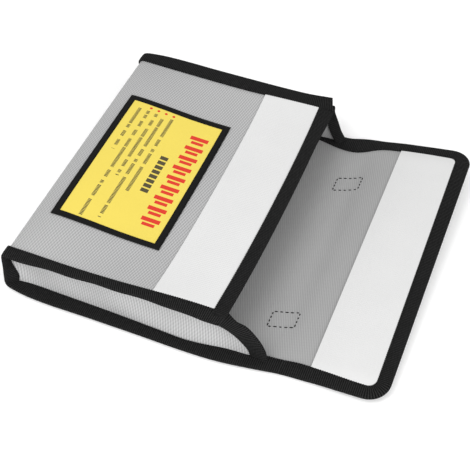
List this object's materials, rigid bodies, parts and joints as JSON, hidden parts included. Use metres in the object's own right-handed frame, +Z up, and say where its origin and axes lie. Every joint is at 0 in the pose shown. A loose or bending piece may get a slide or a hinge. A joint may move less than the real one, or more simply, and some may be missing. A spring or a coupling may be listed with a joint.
{
  "type": "battery storage pouch",
  "caption": "Soft silver fire-resistant pouch with black bound seams, side gussets, a yellow label and an open flap with hook-and-loop strips.",
  "frame": {"origin": "under the middle of the whole outline, flap open, on the surface that the pouch lies on", "axes": "+X from the folded base to the mouth and the open flap, +Y across the pouch, +Z up out of the label"},
  "size_m": [0.2448, 0.215, 0.0302],
  "materials": {
    "silver_cloth": "silver-grey coated glass cloth, fine plain weave with a soft metallic sheen",
    "flap_cloth": "inner face of the coated glass cloth, darker grey and matt, fine ribbed weave",
    "binding_tape": "black ribbed polyester binding tape, matt",
    "webbing": "black woven webbing, coarse ribs, matt",
    "hook_and_loop": "white woven hook-and-loop tape, matt with a fine pile",
    "black_thread": "black sewing thread, slight sheen",
    "label_print": "smooth printed yellow label with plain red and black bars"
  },
  "bodies": {
    "bag": {"back_panel": "silver_cloth", "base_panel": "silver_cloth", "far_back_seam_tape": "binding_tape", "far_base_seam_tape": "binding_tape", "far_gusset": "silver_cloth", "far_gusset_mouth_tape": "binding_tape", "handle_box_stitches_back": "black_thread", "handle_strap_back_half": "webbing", "near_back_seam_tape": "binding_tape", "near_base_seam_tape": "binding_tape", "near_gusset": "silver_cloth", "near_gusset_mouth_tape": "binding_tape"},
    "front": {"far_front_seam_tape": "binding_tape", "front_hook_strip": "hook_and_loop", "front_mouth_tape": "binding_tape", "front_panel": "silver_cloth", "label_border": "black_thread", "label_patch": "label_print", "near_front_seam_tape": "binding_tape"},
    "flap_root": {"far_flap_root_tape": "binding_tape", "flap_root_panel": "flap_cloth", "handle_box_stitches_flap": "black_thread", "handle_strap_flap_half": "webbing", "near_flap_root_tape": "binding_tape"},
    "flap_mid": {"far_flap_mid_tape": "binding_tape", "flap_loop_strip_mid": "hook_and_loop", "flap_mid_panel": "flap_cloth", "near_flap_mid_tape": "binding_tape"},
    "flap_lip": {"flap_lip_edge_tape": "binding_tape", "flap_lip_panel": "flap_cloth", "flap_loop_strip_lip": "hook_and_loop"}
  },
  "joints": [
    {"name": "mouth_press", "type": "hinge", "parent": "bag", "child": "front", "pos_m": [-0.12194, 0, 0.02865], "axis": [0, 1, 0], "range_deg": [0, 8.5], "stiffness_Nm_per_rad": 0.15, "springref_deg": -22.92, "deforming": ["far_gusset", "far_gusset_mouth_tape", "near_gusset", "near_gusset_mouth_tape"]},
    {"name": "flap_fold", "type": "hinge", "parent": "bag", "child": "flap_root", "pos_m": [0.04871, 0, 0.0028], "axis": [0, -1, 0], "range_deg": [0, 90]},
    {"name": "flap_bend", "type": "hinge", "parent": "flap_root", "child": "flap_mid", "pos_m": [0.06644, 0, 0.00593], "axis": [0, -1, 0], "range_deg": [0, 46.1]},
    {"name": "lip_fold", "type": "hinge", "parent": "flap_mid", "child": "flap_lip", "pos_m": [0.08619, 0, 0.00905], "axis": [0, -1, 0], "range_deg": [0, 39.6]}
  ],
  "couplings": [
    {"joint": "flap_bend", "follows": "flap_fold", "ratio": 0.5111}
  ]
}
